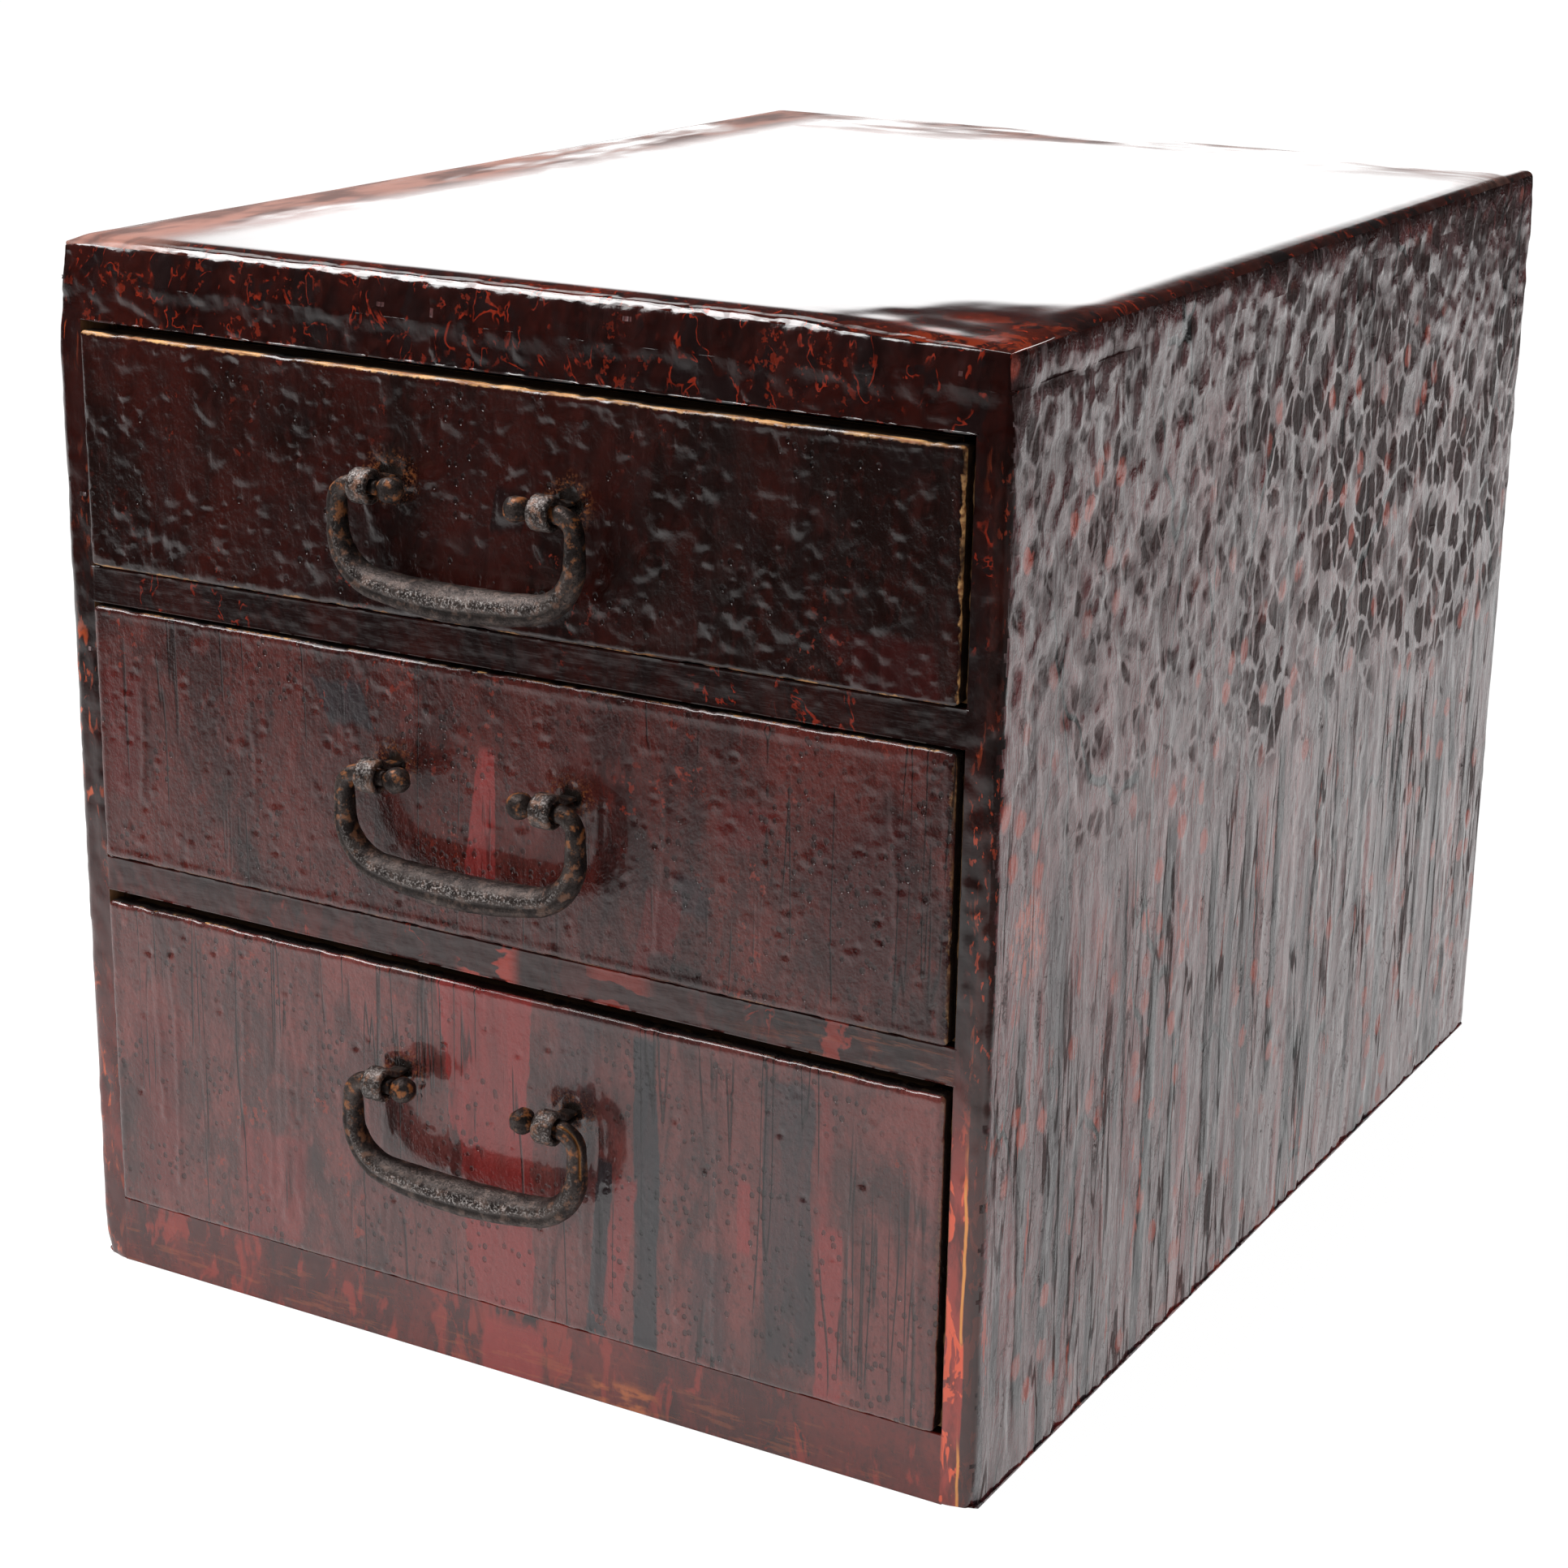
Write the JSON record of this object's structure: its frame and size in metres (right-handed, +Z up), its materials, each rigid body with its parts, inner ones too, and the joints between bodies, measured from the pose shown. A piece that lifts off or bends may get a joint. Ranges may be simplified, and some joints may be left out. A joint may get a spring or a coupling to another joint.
{
  "type": "chest of drawers",
  "caption": "Small lacquered wooden chest with inset drawers one above the other, each with a forged iron bail handle.",
  "frame": {"origin": "middle of the footprint of the whole chest, handles included, on the surface that it stands on", "axes": "+X to the right across the front, +Y from the front to the back, +Z up; the drawers pull out along -Y"},
  "size_m": [0.316, 0.4472, 0.33],
  "materials": {
    "case_lacquer": "thick glossy dark red lacquer, run and wrinkled",
    "front_lacquer": "worn glossy dark red lacquer",
    "bare_wood": "aged bare softwood",
    "peg_wood": "bare hardwood end grain",
    "iron": "forged, worn, rusty in the joints"
  },
  "bodies": {
    "case": {"top_board": "case_lacquer", "left_side": "case_lacquer", "right_side": "case_lacquer", "back_board": "case_lacquer", "bottom_board": "bare_wood", "top_rail": "case_lacquer", "upper_rail": "case_lacquer", "lower_rail": "case_lacquer", "bottom_rail": "case_lacquer", "lower_runner_left": "bare_wood", "lower_runner_right": "bare_wood", "upper_runner_left": "bare_wood", "upper_runner_right": "bare_wood", "case_pegs": "peg_wood"},
    "top_drawer": {"top_drawer_front": "front_lacquer", "top_drawer_wall_left": "bare_wood", "top_drawer_wall_right": "bare_wood", "top_drawer_back": "bare_wood", "top_drawer_bottom": "bare_wood", "top_drawer_pegs": "peg_wood", "top_eye_left": "iron", "top_eye_right": "iron"},
    "top_bail": {"top_bail": "iron"},
    "middle_drawer": {"middle_drawer_front": "front_lacquer", "middle_drawer_wall_left": "bare_wood", "middle_drawer_wall_right": "bare_wood", "middle_drawer_back": "bare_wood", "middle_drawer_bottom": "bare_wood", "middle_drawer_pegs": "peg_wood", "middle_eye_left": "iron", "middle_eye_right": "iron"},
    "middle_bail": {"middle_bail": "iron"},
    "bottom_drawer": {"bottom_drawer_front": "front_lacquer", "bottom_drawer_wall_left": "bare_wood", "bottom_drawer_wall_right": "bare_wood", "bottom_drawer_back": "bare_wood", "bottom_drawer_bottom": "bare_wood", "bottom_drawer_pegs": "peg_wood", "bottom_eye_left": "iron", "bottom_eye_right": "iron"},
    "bottom_bail": {"bottom_bail": "iron"}
  },
  "joints": [
    {"name": "top_drawer_slide", "type": "slide", "parent": "case", "child": "top_drawer", "axis": [0, -1, 0], "range_m": [0, 0.35]},
    {"name": "top_bail_hinge", "type": "hinge", "parent": "top_drawer", "child": "top_bail", "pos_m": [-0.0055, -0.21835, 0.2716], "axis": [-1, 0, 0], "range_deg": [-8, 180]},
    {"name": "middle_drawer_slide", "type": "slide", "parent": "case", "child": "middle_drawer", "axis": [0, -1, 0], "range_m": [0, 0.35]},
    {"name": "middle_bail_hinge", "type": "hinge", "parent": "middle_drawer", "child": "middle_bail", "pos_m": [-0.0055, -0.21835, 0.1869], "axis": [-1, 0, 0], "range_deg": [-8, 180]},
    {"name": "bottom_drawer_slide", "type": "slide", "parent": "case", "child": "bottom_drawer", "axis": [0, -1, 0], "range_m": [0, 0.35]},
    {"name": "bottom_bail_hinge", "type": "hinge", "parent": "bottom_drawer", "child": "bottom_bail", "pos_m": [-0.0055, -0.21835, 0.0913], "axis": [-1, 0, 0], "range_deg": [-8, 180]}
  ]
}
